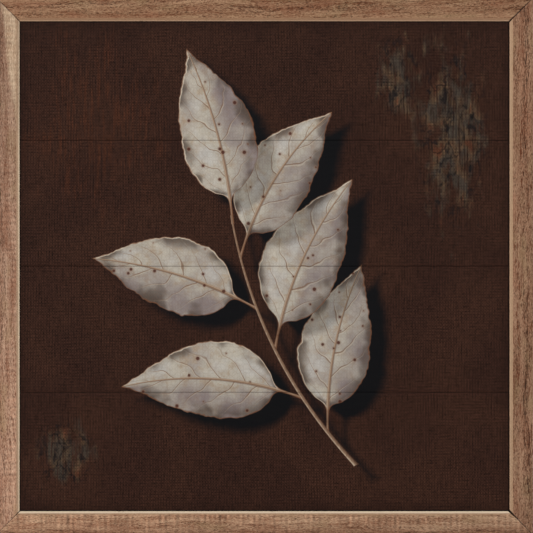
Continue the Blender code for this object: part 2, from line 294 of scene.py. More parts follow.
def bright(colour, factor):
    """The colour times a number."""
    graph = factor.graph
    grey = graph.node("ShaderNodeCombineColor", {0: factor, 1: factor, 2: factor}).outputs[0]
    return graph.mix(1.0, colour, grey, "MULTIPLY")


def field(x, y=0.0, z=0.0, detail=2.0, rough=0.5):
    """Smooth noise from 0 to 1 with features of about one unit."""
    inputs = {"Vector": x.graph.vector(x, y, z), "Scale": 1.0, "Detail": detail, "Roughness": rough}
    return x.graph.number("ShaderNodeTexNoise", inputs)


def cells(x, y, feature, dimensions):
    """What a node gives of the cells about scattered points."""
    inputs = {"Vector": x.graph.vector(x, y), "Scale": 1.0}
    settings = {"feature": feature, "voronoi_dimensions": dimensions}
    return x.graph.node("ShaderNodeTexVoronoi", inputs, **settings).outputs


def cell_edge(x, y, dimensions):
    """How far it is to the nearest edge between two cells."""
    return Num(x.graph, cells(x, y, "DISTANCE_TO_EDGE", dimensions)["Distance"])


def cell_point(x, y):
    """How far it is to the nearest scattered point, and two random draws for that point."""
    outputs = cells(x, y, "F1", "2D")
    draws = x.graph.node("ShaderNodeSeparateColor", {0: outputs["Color"]}).outputs
    return (Num(x.graph, socket) for socket in (outputs["Distance"], draws[0], draws[1]))


def srgb(red, green, blue):
    """A colour as a screen shows it, from 0 to 255, as the linear one that shaders use."""
    parts = (part / 255 for part in (red, green, blue))
    return tuple(p / 12.92 if p <= 0.04045 else ((p + 0.055) / 1.055) ** 2.4 for p in parts)


# The frame's wood. Each rail was cut from another board, so tone, pores and grain differ. Its pores
# are darkest about the heart line, millimetres in from the outer edge, and its outer edge may be
# redder. How bright it is at its two ends comes next, and how bright at its outer and inner edge.
# The chamfer's colour is followed by that of its innermost line and by that line's width. These
# colours
# hold painted light: set brighter or darker on each rail as the light falls, the line partly a painted
# highlight
RAIL_LOOKS = {
    "bottom": dict(
        seed=3.1, slope=0.012, ring=9.0, tone=(200, 163, 132), dark=(125, 80, 56),
        pores=0.55, lines=0.3, heart=4.0, red_edge=0.5, chatter=0.2,
        ends=(1.13, 0.88), edges=(0.90, 1.12),
        chamfer=(184, 148, 118), line=(236, 212, 184), line_wide=2.2,
    ),
    "left": dict(
        seed=11.7, slope=-0.03, ring=8.0, tone=(192, 156, 131), dark=(124, 80, 58),
        pores=0.55, lines=0.5, heart=6.0, red_edge=0.4, chatter=0.11,
        ends=(0.70, 1.32), edges=(0.98, 1.04),
        chamfer=(194, 159, 130), line=(232, 206, 176), line_wide=1.7,
    ),
    "top": dict(
        seed=23.3, slope=-0.035, ring=11.0, tone=(176, 138, 107), dark=(106, 63, 39),
        pores=0.7, lines=0.3, heart=11.5, red_edge=0.0, chatter=0.03,
        ends=(0.92, 0.98), edges=(0.98, 1.0),
        chamfer=(171, 132, 103), line=(198, 162, 133), line_wide=1.1,
    ),
    "right": dict(
        seed=37.9, slope=0.028, ring=13.0, tone=(171, 134, 107), dark=(100, 61, 41),
        pores=0.65, lines=1.0, heart=8.0, red_edge=0.0, chatter=0.03,
        ends=(1.0, 1.01), edges=(0.98, 1.03),
        chamfer=(192, 156, 125), line=(200, 165, 134), line_wide=1.4,
    ),
}
PORE_COLOUR = srgb(40, 20, 10)
DASH_COLOUR = srgb(100, 50, 27)
SAPWOOD_LIGHT = srgb(216, 190, 160)
SAPWOOD_DARK = srgb(158, 124, 97)
RED_WOOD = srgb(141, 89, 65)
OLIVE_WOOD = srgb(154, 127, 94)
# the joints' dark line, and painted shade on the mitres' cut faces
MITRE_JOINT_AND_SHADE_COLOUR = srgb(26, 15, 11)


def rail_axes(graph, side):
    """Millimetres along a rail and in from its outer edge, and the depth."""
    right, back, up = graph.position()
    if side == "bottom":
        return right, up + HALF_MM, back
    if side == "left":
        return -up, right + HALF_MM, back
    if side == "top":
        return -right, HALF_MM - up, back
    return up, HALF_MM - right, back


def frame_wood(side):
    """A rail's wood: long streaks, short fibres and broad bands of tone, all along the grain."""
    look = RAIL_LOOKS[side]
    seed = look["seed"]
    graph = Graph(f"frame_wood_{side}")
    along, across, depth = rail_axes(graph, side)
    bend = field(along / 130 + seed, across / 60, depth / 60, rough=0.4) - 0.5
    waver = field(along / 17, across / 7 + seed, depth / 9, 1.0) - 0.5
    grain = across + along * look["slope"] + bend * 17 + waver * 0.9
    streaks = field(along / 34 + seed, grain, depth / 1.2, rough=0.6)
    fibres = field(along / 2.7, grain / 0.72 + seed, depth / 0.9, 1.0, 0.6)
    bands = field(along / 90 + seed, grain / 7, depth / 8)
    cloud = field(along / 44 + seed, across / 17, depth / 22)
    shade = (streaks - 0.5) * 1.2 + (fibres - 0.5) * 1.7 + (bands - 0.5) * 1.2 + 0.42
    colour = wood_tone(look, along, across, waver, cloud, shade)
    pores, pale = look["pores"], 0.0
    if side == "left":
        pale = sapwood(along, across)
        colour = mix(pale * 0.85, colour, mix(shade, SAPWOOD_LIGHT, SAPWOOD_DARK))
        pores = (1.0 - pale * 0.6) * pores
    colour, dash, dot, line = pored(colour, look, along, across, depth, grain, bend, pores)
    colour = planed(colour, look, along, across, cloud)
    colour = chamfered(colour, look, along, across, fibres, pale)
    colour = mitred(colour, side, along, across, cloud)
    height = fibres * 0.5 + streaks * 0.5 - dash * 0.8 - line * 0.4 - dot
    rough = bands.ramp(0.3, 0.7, 0.6, 0.72) + dash * 0.12
    return graph.finish(colour, rough, height, 0.13, specular=0.1)


def wood_tone(look, along, across, waver, cloud, shade):
    """The board's own colour, redder or more olive in places, and brighter at one end or edge."""
    colour = mix(shade, srgb(*look["tone"]), srgb(*look["dark"]))
    reddish = (across + waver * 6).ramp(10.0, 0.0) * look["red_edge"]
    reddish = reddish.apply("MAXIMUM", cloud.ramp(0.48, 0.7, 0.0, 0.35))
    colour = mix(reddish, colour, RED_WOOD)
    colour = mix(cloud.ramp(0.48, 0.3, 0.0, 0.4), colour, OLIVE_WOOD)
    ends = along.ramp(-HALF_MM, HALF_MM, *look["ends"], smooth=False)
    return bright(colour, ends * across.ramp(0.0, FACE_MM, *look["edges"], smooth=False))


def sapwood(along, across):
    """How pale the left rail is: in a band next to the picture, widest at the top."""
    edge = field(along / 26, across / 30) * 9
    return (across + edge - along * 0.11).ramp(41.0, 47.0) * (-along).ramp(120.0, 230.0)


def pored(colour, look, along, across, depth, grain, bend, pores):
    """The open pores that growth rings gather: dark dashes, dots and long thin lines along the
    grain. Gives the colour with all of them, and each kind."""
    seed = look["seed"]
    rings = grain / look["ring"] + field(along / 70, grain / 9 + seed, detail=1.0) * 1.6
    heart = (across + bend * 16).band(look["heart"], 1.5, 4.5)
    early = abs(rings.apply("FRACT") - 0.5).ramp(0.12, 0.40) * 0.07 + heart * 0.045
    dashes = field(along / 5.0 + seed, grain / 0.78, depth / 1.1, 1.0) + early
    dots = field(along / 1.9 + seed, grain / 0.75, depth / 0.8, 0.0) + early
    threads = field(along / 15 + seed * 2, grain, depth / 1.4, 1.0) + early
    dash = dashes.ramp(0.63, 0.70) * pores
    dot = dots.ramp(0.69, 0.76) * pores
    line = threads.ramp(0.67, 0.73) * look["lines"]
    colour = mix(line * 0.85, colour, mix(heart, DASH_COLOUR, PORE_COLOUR))
    colour = mix(dash * 0.9, colour, mix(dashes.ramp(0.70, 0.79), DASH_COLOUR, PORE_COLOUR))
    return mix(dot * 0.8, colour, PORE_COLOUR), dash, dot, line


def planed(colour, look, along, across, cloud):
    """The marks that the planer's knives left across the grain, and left most near the opening."""
    seed = look["seed"]
    drift = field(along / 30 + seed, across / 90, detail=1.0) * 1.5
    chatter = (along / (CHATTER_PITCH * MM) + drift).wave() * 0.55
    chatter = chatter + (field(along / 3.4 + seed, across / 32, detail=0.0) - 0.5) * 3.0
    uneven = cloud.ramp(0.35, 0.6, 0.4, 1.4) * across.ramp(6.0, 20.0, 0.45, 1.2)
    return bright(colour, chatter * uneven * look["chatter"] + 1.0)


def chamfered(colour, look, along, across, fibres, pale):
    """The chamfer, planed after the face was stained, and the line where it meets the opening, both
    with painted light in their colours.
    """
    across = across + (field(along / 9 + look["seed"]) - 0.5) * 0.5
    chamfer_from = FACE_MM - INNER_CHAMFER * MM
    line_from = FACE_MM - look["line_wide"]
    bare = across.ramp(chamfer_from - 0.3, chamfer_from + 0.3) * (1.0 - pale * 0.6)
    # painted light: each rail's chamfer and line colours are the pale bare wood set brighter or darker
    # as the light falls on that rail
    plain = bright(srgb(*look["chamfer"]), fibres.ramp(0.3, 0.7, 1.08, 0.9))
    plain = mix(across.ramp(line_from - 0.5, line_from + 0.4), plain, srgb(*look["line"]))
    return mix(bare, colour, plain)


def mitred(colour, side, along, across, cloud):
    """The dark joint line where two rails meet, and painted shade on the cut faces, which are painted
    dark so that they show black where the rails gape.
    """
    number = SIDES.index(side)
    low, high = MITRES[CORNERS[number]], MITRES[CORNERS[number - 1]]
    gape = along.ramp(-1.0, 1.0, low[0] * MM, high[0] * MM)
    strength = along.ramp(-1.0, 1.0, low[1], high[1]) * cloud.ramp(0.35, 0.6, 0.75, 1.1)
    strength = strength * across.ramp(2.0, 15.0, 0.6, 1.0)
    opened = across.ramp(FACE_MM - MITRE_REACH * MM, FACE_MM, smooth=False)
    near = HALF_MM - across - abs(along) - (gape * opened + MITRE_SHUT * MM) / math.sqrt(2)
    line = near.fall(0.2, strength * 1.1 + 0.7) * strength
    # on the cut faces, where near is under 0.1 mm, the full dark colour is painted shade in the gap
    return mix(near.ramp(0.1, 0.3, 1.0, line), colour, MITRE_JOINT_AND_SHADE_COLOUR)


# The print: a sprig of plain oval leaves on a dark ground, in millimetres from the centre
STEM_FROM = Vector((104.0, -226.0))
STEM_TO = Vector((-38.0, 58.0))
STEM_BOW = 0.075
STEM_HALF = 3.6
LEAF_CURVE = [
    (0.0, 0.055), (0.10, 0.045), (0.13, 0.06), (0.19, 0.42), (0.29, 0.82), (0.42, 1.0),
    (0.56, 0.96), (0.70, 0.76), (0.83, 0.45), (0.93, 0.17), (1.0, 0.0),
]
STEM_CURVE = [(0.0, 1.0), (0.06, 0.78), (0.5, 0.62), (1.0, 0.42)]
# Each leaf: how far up the stem, its turn from the stem in degrees, length, half width and bow
LEAVES = [
    (0.15, -50.0, 196.0, 41.0, 0.060),
    (0.30, 53.0, 206.0, 44.0, -0.075),
    (0.50, -51.0, 212.0, 45.0, 0.065),
    (0.66, 52.0, 196.0, 42.5, -0.055),
    (0.85, -47.0, 196.0, 41.5, 0.075),
    (0.97, 4.0, 206.0, 43.0, -0.045),
]
LIGHT_FROM = Vector((-0.75, 0.66))
SHADOW_SHIFT = Vector((20.0, -15.0))
SHADOW_SOFT = 7.5
LEAF_EDGE = 0.45
LEAF_TRIM = 0.6
SIDE_VEINS = 7.5
WARP_PITCH = 3.1
WEFT_PITCH = 3.3
# Areas of the ground: centre, half width and half height, and for each worn patch a seed
WARM_STROKES = (-190.0, 160.0, 105.0, 135.0)
WORN_PATCHES = [
    (212.0, 150.0, 38.0, 100.0, 4.3),
    (150.0, 216.0, 24.0, 42.0, 9.1),
    (-226.0, -212.0, 32.0, 36.0, 14.9),
]

GROUND = srgb(56, 34, 25)
GROUND_WARM = srgb(74, 40, 25)
GROUND_DIM = srgb(49, 29, 22)
SHADOW_COLOUR = srgb(10, 13, 16)
# painted shade, at the frame's edge and in the grooves between the planks
PAINTED_SHADE_COLOUR = srgb(14, 7, 5)
LEAF_CREAM = srgb(185, 177, 163)
LEAF_GREY = srgb(165, 155, 145)
LEAF_LILAC = srgb(134, 121, 120)
LEAF_OCHRE = srgb(167, 146, 122)
LEAF_UMBER = srgb(80, 67, 59)
LEAF_COOL = srgb(193, 190, 185)
LEAF_RIM = srgb(120, 76, 50)
LEAF_HALO = srgb(134, 98, 75)
LEAF_SPOT = srgb(76, 40, 32)
VEIN_COLOUR = srgb(124, 93, 72)
VEIN_LIGHT = srgb(212, 199, 178)
STEM_COLOUR = srgb(134, 105, 84)
STEM_LIGHT = srgb(192, 170, 146)
STEM_DARK = srgb(72, 50, 40)
WEATHERED = srgb(88, 70, 52)
WEATHERED_GREY = srgb(64, 57, 49)
WEATHERED_DARK = srgb(24, 20, 21)
RUST = srgb(86, 46, 30)


def stem_point(share):
    """A point of the stem's bowed line, and the stem's direction there."""
    chord = STEM_TO - STEM_FROM
    side = Vector((-chord.y, chord.x))
    point = STEM_FROM + chord * share + side * (STEM_BOW * 4 * share * (1 - share))
    return point, (chord + side * (STEM_BOW * 4 * (1 - 2 * share))).normalized()


def outline(right, up, base, direction, length, half, bow, points, ripple):
    """Where a point lies on a bowed leaf: its share of the length, millimetres off the midrib, and
    millimetres in from the margin."""
    x, z = right - base.x, up - base.y
    share = (x * direction.x + z * direction.y) / length
    off = z * direction.x - x * direction.y - share * (1 - share) * (4 * bow * length)
    wide = share.curve(points) * half - LEAF_TRIM
    if ripple is not None:
        wide = wide + ripple * share.ramp(0.16, 0.4)
    ends = (share * length).apply("MINIMUM", (1.0 - share) * length)
    return share, off, (wide - abs(off)).apply("MINIMUM", ends)


def sprig_shapes(ripple):
    shapes = []
    for at, turn, length, half, bow in LEAVES:
        base, heading = stem_point(at)
        direction = Matrix.Rotation(math.radians(turn), 2) @ heading
        shapes.append((base, direction, length, half, bow, LEAF_CURVE, ripple))
    chord = STEM_TO - STEM_FROM
    shapes.append((STEM_FROM, chord.normalized(), chord.length, STEM_HALF, STEM_BOW, STEM_CURVE, None))
    return shapes


def sprig(right, up):
    """The sprig, leaf over leaf. Gives how far a point is covered, where it lies on the top leaf
    with that leaf's light and whether it is the stem, and the light on the leaves and the ground."""
    ripple = (field(right / 18, up / 18, rough=0.6) - 0.5) * 9.0
    cast = (right - SHADOW_SHIFT.x, up - SHADOW_SHIFT.y)
    cover, shade, ground_light = 0.0, 1.0, 1.0
    top = [0.0] * 5
    for shape in sprig_shapes(ripple):
        direction = shape[1]
        dark = outline(*cast, *shape)[2].ramp(-SHADOW_SOFT, SHADOW_SOFT)
        ground_light = (1.0 - dark) * ground_light
        place = outline(right, up, *shape)
        here = place[2].ramp(-LEAF_EDGE, LEAF_EDGE, smooth=False)
        lit = Vector((-direction.y, direction.x)).dot(LIGHT_FROM)
        woody = float(shape[-1] is None)
        top = [blend(here, below, this) for below, this in zip(top, (*place, lit, woody))]
        shade = blend(here, (1.0 - dark * 0.4) * shade, 1.0)
        cover = here + cover * (1.0 - here)
    return cover, top, shade, ground_light


def weave(right, up):
    """A plain weave's threads, about 0 on average. Warp shows more in some places, weft in others."""
    drift = field(right / 34, up / 34) * 1.1
    warp = (right / WARP_PITCH + drift).wave()
    weft = (up / WEFT_PITCH - drift).wave()
    fuzz = field(right / 2.1, up / 2.5, rough=0.6) - 0.5
    slubs = field(right / 1.9, up / 18, detail=1.0, rough=0.6) - 0.5
    picks = field(right / 13, up / 2.0, detail=1.0, rough=0.6) - 0.5
    patch = field(right / 21, up / 21, detail=1.0)
    upright = patch.ramp(0.4, 0.62, 0.6, 0.25)
    level = patch.ramp(0.4, 0.62, 0.2, 0.5)
    return warp * upright + weft * level + warp * weft + fuzz * 5.0 + slubs * 3.0 + picks * 2.4


def away_from(right, up, at_right, at_up, wide, high):
    """How far a point is from a place, where that place's half width and half height count as 1."""
    x = (right - at_right) / wide
    z = (up - at_up) / high
    return (x * x + z * z).apply("SQRT")


def ground_colour(right, up):
    """The ground, with warm brush strokes dragged downwards, and worn patches."""
    streaks = field(right / 3.6, up / 38, detail=3.0, rough=0.6)
    cloud = field(right / 80, up / 95)
    colour = mix(cloud.ramp(0.35, 0.65), GROUND_DIM, GROUND)
    colour = bright(colour, up.ramp(-230.0, 230.0, 1.06, 0.94, smooth=False))
    ragged = field(right / 24, up / 60, detail=3.0, rough=0.6)
    near = (away_from(right, up, *WARM_STROKES) + ragged * 1.8).ramp(1.9, 1.1)
    colour = mix(near * streaks.ramp(0.44, 0.66) * 0.6, colour, GROUND_WARM)
    for patch in WORN_PATCHES:
        colour = weathered(colour, right, up, *patch)
    return colour


def weathered(colour, right, up, at_right, at_up, wide, high, seed):
    """A patch where the ground is worn to brown and grey streaks, with dark cracks and rust."""
    away = away_from(right, up, at_right, at_up, wide, high)
    ragged = field(right / 15 + seed, up / 40, detail=4.0, rough=0.6)
    streak = field(right / 3.2 + seed, up / 34, detail=4.0, rough=0.62)
    tone = field(right / 17, up / 22 + seed)
    cloud = field(right / 28 + seed, up / 34, detail=1.0)
    worn = mix(tone.ramp(0.42, 0.6), WEATHERED_GREY, WEATHERED)
    worn = mix((tone + streak * 0.5).ramp(0.82, 0.98, 0.0, 0.8), worn, RUST)
    worn = bright(worn, streak.ramp(0.3, 0.7, 0.62, 1.25, smooth=False))
    patch = (away - (ragged - 0.5) * 3.2).ramp(1.05, 0.35) * streak.ramp(0.3, 0.54)
    colour = mix(patch * 0.8, colour, worn)

    # what has flaked off, and the cracks that run on past the patch
    flakes = field(right / 10, up / 19 + seed, detail=4.0, rough=0.65)
    crack = cell_edge(right / 34 + ragged * 1.3, up / 44 + seed + tone * 1.5, "2D")
    thin = (crack + flakes * 0.07).fall(0.05, 0.08, 0.8) * cloud.ramp(0.38, 0.52)
    lost = flakes.ramp(0.54, 0.64).apply("MAXIMUM", thin)
    return mix(lost * away.ramp(1.35, 0.7, 0.0, 0.85), colour, WEATHERED_DARK)


def blade_tones(right, up, share, across, facing, lit):
    """The blade between its veins: cream and grey, lilac where it turns away from the light, and
    umber where it dries."""
    cloud = field(right / 38, up / 38, lit, 3.0, 0.55)
    mottle = field(right / 12, up / 12, lit * 3.0, 4.0, 0.62)
    patches = field(right / 27 + 50.0, up / 27, lit * 2.0)
    colour = mix(cloud.ramp(0.38, 0.6), LEAF_GREY, LEAF_CREAM)
    colour = mix(mottle.ramp(0.48, 0.68, 0.0, 0.65), colour, LEAF_OCHRE)
    away = facing.ramp(0.4, -0.6) * abs(across).ramp(0.0, 0.55)
    colour = mix(away * cloud.ramp(0.34, 0.62, 0.9, 0.4), colour, LEAF_LILAC)
    gleam = facing.ramp(-0.2, 0.5) * abs(across).band(0.45, 0.12, 0.3)
    colour = mix(gleam * patches.ramp(0.46, 0.66, 0.0, 0.6), colour, LEAF_COOL)
    dry = (abs(across) * 0.42 + share * 0.2 + patches).ramp(0.88, 1.12)
    return mix(dry * facing.ramp(0.5, -0.5, 0.15, 0.7), colour, LEAF_UMBER)


def rolled(colour, right, up, edge, facing, lit):
    """The margin where it curls: on the side to the light a bright lip with a dusky hollow inside
    it, and on the other side dusk that deepens to the margin."""
    patches = field(right / 30 + 9.0, up / 30, lit * 2.0, 1.5)
    sunny = facing.ramp(0.05, 0.35)
    hollow = edge.ramp(1.3, 2.4) * edge.ramp(15.0, 3.0)
    dusk = blend(sunny, edge.ramp(19.0, 1.0) * 0.75, hollow * 0.85)
    colour = mix(dusk * patches.ramp(0.43, 0.58), colour, LEAF_UMBER)
    lip = edge.band(1.1, 0.3, 0.5) * sunny * patches.ramp(0.36, 0.52, 0.25, 0.9)
    return mix(lip, colour, VEIN_LIGHT)


def veined(colour, right, up, share, across, side, lit):
    """Side veins in turn on either side, and a fine net between them."""
    net = cell_edge(right / 5.5, up / 5.5, "3D")
    colour = mix(net.fall(0.0, 0.12) * 0.16, colour, VEIN_COLOUR)
    wander = field(right / 24, up / 24, 3.0, 1.0) * 0.8
    rows = (share - abs(across) * 0.16 - across * across * 0.07) * SIDE_VEINS + side * 0.25 + wander
    near = rows.apply("FRACT") - 0.5
    reach = abs(across).ramp(0.98, 0.3, 0.1, 1.0)
    colour = bright(colour, abs(near).ramp(0.0, 0.5, 0.965, 1.025))
    gleam = near.band(side * lit * 0.07, 0.012, 0.035) * reach
    vein = abs(near).fall(0.014, 0.04) * reach
    colour = mix(gleam * 0.35, colour, VEIN_LIGHT)
    return mix(vein * 0.75, colour, VEIN_COLOUR)


def ribbed(colour, share, off, lit):
    """The midrib, bright on the side to the light, with a dark line along its other side."""
    rib = share.ramp(0.05, 1.0, 1.9, 0.35, smooth=False)
    sunny = lit.apply("SIGN")
    middle = (abs(off) - rib).fall(-0.3, 0.4)
    light = (abs(off - rib * sunny * 0.5) - rib * 0.4).fall(-0.3, 0.4)
    dark = (abs(off + rib * sunny * 1.25) - rib * 0.25).fall(-0.2, 0.6)
    colour = mix(dark * 0.45, colour, STEM_DARK)
    colour = mix(middle * 0.95, colour, STEM_COLOUR)
    return mix(light * 0.55, colour, STEM_LIGHT)


def aged(colour, right, up, edge):
    """Specks with a soft halo, stains, and the dry brown rim."""
    colour = specked(colour, right, up, 26.0, 0.34)
    colour = specked(colour, right + 70.0, up, 17.0, 0.2)
    stain = field(right / 17 + 31.0, up / 17, detail=3.0, rough=0.6)
    colour = mix((stain - edge * 0.013).ramp(0.57, 0.7) * 0.5, colour, LEAF_RIM)
    return mix((edge - stain * 2.2).fall(-0.9, 0.7) * 0.8, colour, LEAF_RIM)


def specked(colour, right, up, apart, share):
    """Specks on a share of the points that lie scattered about so many millimetres apart."""
    near, chance, size = cell_point(right / apart, up / apart)
    there = chance.apply("LESS_THAN", share)
    away = near * apart - size.ramp(0.0, 1.0, 0.5, 2.2, smooth=False)
    colour = mix(away.fall(-0.2, 1.9, 0.5) * there, colour, LEAF_HALO)
    return mix(away.fall(-0.7, 0.3, 0.9) * there, colour, LEAF_SPOT)


def stem_colour(right, up, off, lit):
    """The woody stem, light on one side and dark on the other."""
    bark = field(right / 2.6, up / 6, rough=0.6)
    turn = off * lit.apply("SIGN") / STEM_HALF + (bark - 0.5) * 0.7
    colour = mix(turn.ramp(-0.7, 0.0), STEM_DARK, STEM_COLOUR)
    return mix(turn.ramp(0.0, 0.6), colour, STEM_LIGHT)


def leaf_colour(right, up, share, off, edge, lit, woody):
    across = off / (edge + abs(off) + 0.01)
    side = off.apply("SIGN")
    facing = side * lit
    colour = blade_tones(right, up, share, across, facing, lit)
    colour = rolled(colour, right, up, edge, facing, lit)
    colour = veined(colour, right, up, share, across, side, lit)
    colour = ribbed(colour, share, off, lit)
    colour = aged(colour, right, up, edge)
    colour = bright(colour, (facing * abs(across)).ramp(-0.9, 0.9, 0.9, 1.05))
    return mix(woody, colour, stem_colour(right, up, off, lit))


def printed_wood():
    graph = Graph("printed_wood")
    right, back, up = graph.position()
    threads = weave(right, up)
    cover, top, shade, ground_light = sprig(right, up)
    ground = bright(ground_colour(right, up), threads * 0.33 + 1.0)
    ground = mix((1.0 - ground_light) * 0.95, ground, SHADOW_COLOUR)
    leaf = bright(leaf_colour(right, up, *top), shade * (threads * 0.035 + 1.0))
    colour = mix(cover, ground, leaf)

    # painted shade: the print darkens towards the frame, and is painted dark along the line at the
    # frame and in its grooves
    inside = HALF_MM - FACE_MM - abs(right).apply("MAXIMUM", abs(up))
    colour = bright(colour, inside.ramp(0.0, 16.0, 0.78, 1.0))
    colour = mix(inside.fall(0.4, 1.7, 0.9), colour, PAINTED_SHADE_COLOUR)
    deep = back - PLANK_FRONT_Y * MM
    colour = mix(deep.ramp(0.1, 0.25, 0.0, 0.8), colour, PAINTED_SHADE_COLOUR)

    fibre = field(right / 30, up / 0.9, detail=3.0, rough=0.6)
    rough = fibre.ramp(0.3, 0.7, 0.52, 0.64)
    return graph.finish(colour, rough, fibre + threads * 0.12, 0.08, specular=0.05)


PINE_LIGHT = srgb(222, 196, 156)
PINE_LATE = srgb(184, 138, 88)
PINE_GREY = srgb(196, 176, 146)
KNOT_COLOUR = srgb(112, 68, 40)
SAW_MARK_PITCH = 3.1


def raw_pine(name, upright, middle, seed):
    """Unfinished sawn pine, its heart behind the board's middle line: arched growth rings that part
    round knots, and saw marks across."""
    graph = Graph(name)
    right, back, up = graph.position()
    along, across = (up, right) if upright else (right, up)
    near, chance, _ = cell_point(along / 140 + seed, across / 90 + seed)
    knotty = chance.apply("LESS_THAN", 0.3)
    part = near.fall(0.0, 0.4)
    bend = field(along / 260 + seed, across / 90, back / 90, 1.0, 0.3) - 0.5
    off = across - middle + bend * 34
    sunk = along * 0.055 + back + bend * 16 + 34
    rings = (off * off + sunk * sunk).apply("SQRT") / 6.5 + part * part * knotty * 3.0
    ring = (rings + field(rings / 3.3 + seed, detail=0.0) * 2.2).apply("FRACT")
    late = ring.ramp(0.25, 0.9) * ring.ramp(1.0, 0.93)
    fibre = field(along / 16, across / 0.5, back / 0.5, 3.0, 0.6)
    cloud = field(along / 90, across / 30 + seed, back / 40)
    colour = mix(late * cloud.ramp(0.3, 0.7, 0.5, 0.28), PINE_LIGHT, PINE_LATE)
    colour = mix(cloud.ramp(0.4, 0.7, 0.0, 0.5), colour, PINE_GREY)
    colour = bright(colour, fibre.ramp(0.25, 0.75, 0.86, 1.1, smooth=False))
    knot = (near + fibre * 0.01).fall(0.04, 0.058) * knotty
    colour = mix(knot * near.ramp(0.045, 0.02, 0.85, 0.6), colour, KNOT_COLOUR)
    marks = (along / SAW_MARK_PITCH + bend * 0.8).wave() * 0.12
    return graph.finish(colour, 0.78, fibre * 0.6 + late * 0.35 + marks, 0.25, specular=0.3)


def zinc_steel():
    graph = Graph("zinc_steel")
    right, back, up = graph.position()
    brushed = field(right / 0.35, back / 0.9, up / 3.0, 3.0, 0.6)
    patina = field(right / 4, back / 4, up / 4, 3.0, 0.6)
    colour = mix(patina.ramp(0.35, 0.7), srgb(206, 205, 200), srgb(158, 156, 150))
    rough = patina.ramp(0.3, 0.7, 0.26, 0.48) + (brushed - 0.5) * 0.12
    return graph.finish(colour, rough, brushed, 0.02, metallic=1.0)


def black_rubber():
    graph = Graph("black_rubber")
    right, back, up = graph.position()
    grit = field(right / 0.5, back / 0.5, up / 0.5, 3.0, 0.6)
    dust = field(right / 3, back / 3, up / 3, 3.0, 0.6)
    colour = mix(dust.ramp(0.5, 0.75, 0.0, 0.35), srgb(38, 38, 40), srgb(96, 93, 88))
    return graph.finish(colour, 0.72, grit, 0.06, specular=0.4)


def pale_floor():
    return Graph("pale_floor").finish(srgb(228, 226, 222), 0.85, specular=0.2)


def linked(name, data):
    """A new object in the scene."""
    made = bpy.data.objects.new(name, data)
    bpy.context.scene.collection.objects.link(made)
    return made


def mesh_from(name, bm, materials=(), sharp=40):
    bmesh.ops.recalc_face_normals(bm, faces=bm.faces)
    mesh = bpy.data.meshes.new(name)
    bm.to_mesh(mesh)
    bm.free()
    for material in materials:
        mesh.materials.append(material)
    mesh.shade_smooth()
    mesh.set_sharp_from_angle(angle=math.radians(sharp))
    return mesh


def add_piece(name, bm, materials, node, sharp=40):
    """A finished piece that stands for a CAD node and rides with it."""
    piece = linked(name, mesh_from(name, bm, materials, sharp))
    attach(piece, "root")
    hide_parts(node)


def filleted(corners, steps=4):
    """A closed line through corners (across, y, radius), with each corner rounded."""
    line = []
    for i, (x, y, radius) in enumerate(corners):
        at = Vector((x, y))
        if radius == 0:
            line.append(at)
            continue
        before = (Vector(corners[i - 1][:2]) - at).normalized()
        after = (Vector(corners[(i + 1) % len(corners)][:2]) - at).normalized()
        reach = radius / math.tan(before.angle(after) / 2)
        for step in range(steps + 1):
            t = step / steps
            line.append((at + before * reach * (1 - t)).lerp(at + after * reach * t, t))
    return line


def divided(points, step):
    """A closed line with points added where they are over step apart."""
    line = []
    for a, b in zip(points, points[1:] + points[:1]):
        parts = max(1, round((b - a).length / step))
        line.extend(a.lerp(b, i / parts) for i in range(parts))
    return line


def outward(line):
    """The outward direction at each point of a closed line."""
    normals = []
    for i in range(len(line)):
        along = line[(i + 1) % len(line)] - line[i - 1]
        normals.append(Vector((along.y, -along.x)).normalized())
    return normals


def bridge(bm, rings):
    """Joins rings of vertices, in order, into a closed solid."""
    bm.faces.new(rings[0])
    bm.faces.new(rings[-1])
    for a, b in zip(rings, rings[1:]):
        for i in range(len(a)):
            j = (i + 1) % len(a)
            bm.faces.new((a[i], a[j], b[j], b[i]))


def swept(stations, ring_at):
    """A closed solid through rings of points, which ring_at gives for each share of its length."""
    bm = bmesh.new()
    rings = []
    for station in range(stations + 1):
        rings.append([bm.verts.new(point) for point in ring_at(station / stations)])
    bridge(bm, rings)
    return bm


def turned(profile, sides, at=(0, 0, 0), bm=None):
    """Adds a solid turned about Y, from a profile of (radius, y) that starts and ends at radius 0."""
    bm = bm or bmesh.new()
    first, last = (bm.verts.new((at[0], at[1] + profile[end][1], at[2])) for end in (0, -1))
    rings = []
    for radius, y in profile[1:-1]:
        ring = []
        for i in range(sides):
            turn = 2 * math.pi * i / sides
            x, z = radius * math.cos(turn), radius * math.sin(turn)
            ring.append(bm.verts.new((at[0] + x, at[1] + y, at[2] + z)))
        rings.append(ring)
    for i in range(sides):
        j = (i + 1) % sides
        bm.faces.new((first, rings[0][j], rings[0][i]))
        bm.faces.new((last, rings[-1][i], rings[-1][j]))
        for a, b in zip(rings, rings[1:]):
            bm.faces.new((a[i], a[j], b[j], b[i]))
    return bm


def carved(solid, cutter):
    """The first bmesh with the second one's shape taken out of it."""
    whole = linked("solid", mesh_from("solid", solid))
    tool = linked("cutter", mesh_from("cutter", cutter))
    modifier = whole.modifiers.new("cut", "BOOLEAN")
    modifier.operation = "DIFFERENCE"
    modifier.object = tool
    bpy.context.view_layer.update()
    depsgraph = bpy.context.evaluated_depsgraph_get()
    bm = bmesh.new()
    bm.from_mesh(bpy.data.meshes.new_from_object(whole.evaluated_get(depsgraph)))
    bpy.data.objects.remove(whole)
    bpy.data.objects.remove(tool)
    return bm


def soften(bm, over, width):
    """Bevels the edges that turn by more than so many degrees."""
    sharp = [edge for edge in bm.edges if edge.calc_face_angle(0) > math.radians(over)]
    settings = {"segments": 2, "profile": 0.5, "affect": "EDGES", "clamp_overlap": True}
    bmesh.ops.bevel(bm, geom=sharp, offset=width, **settings)


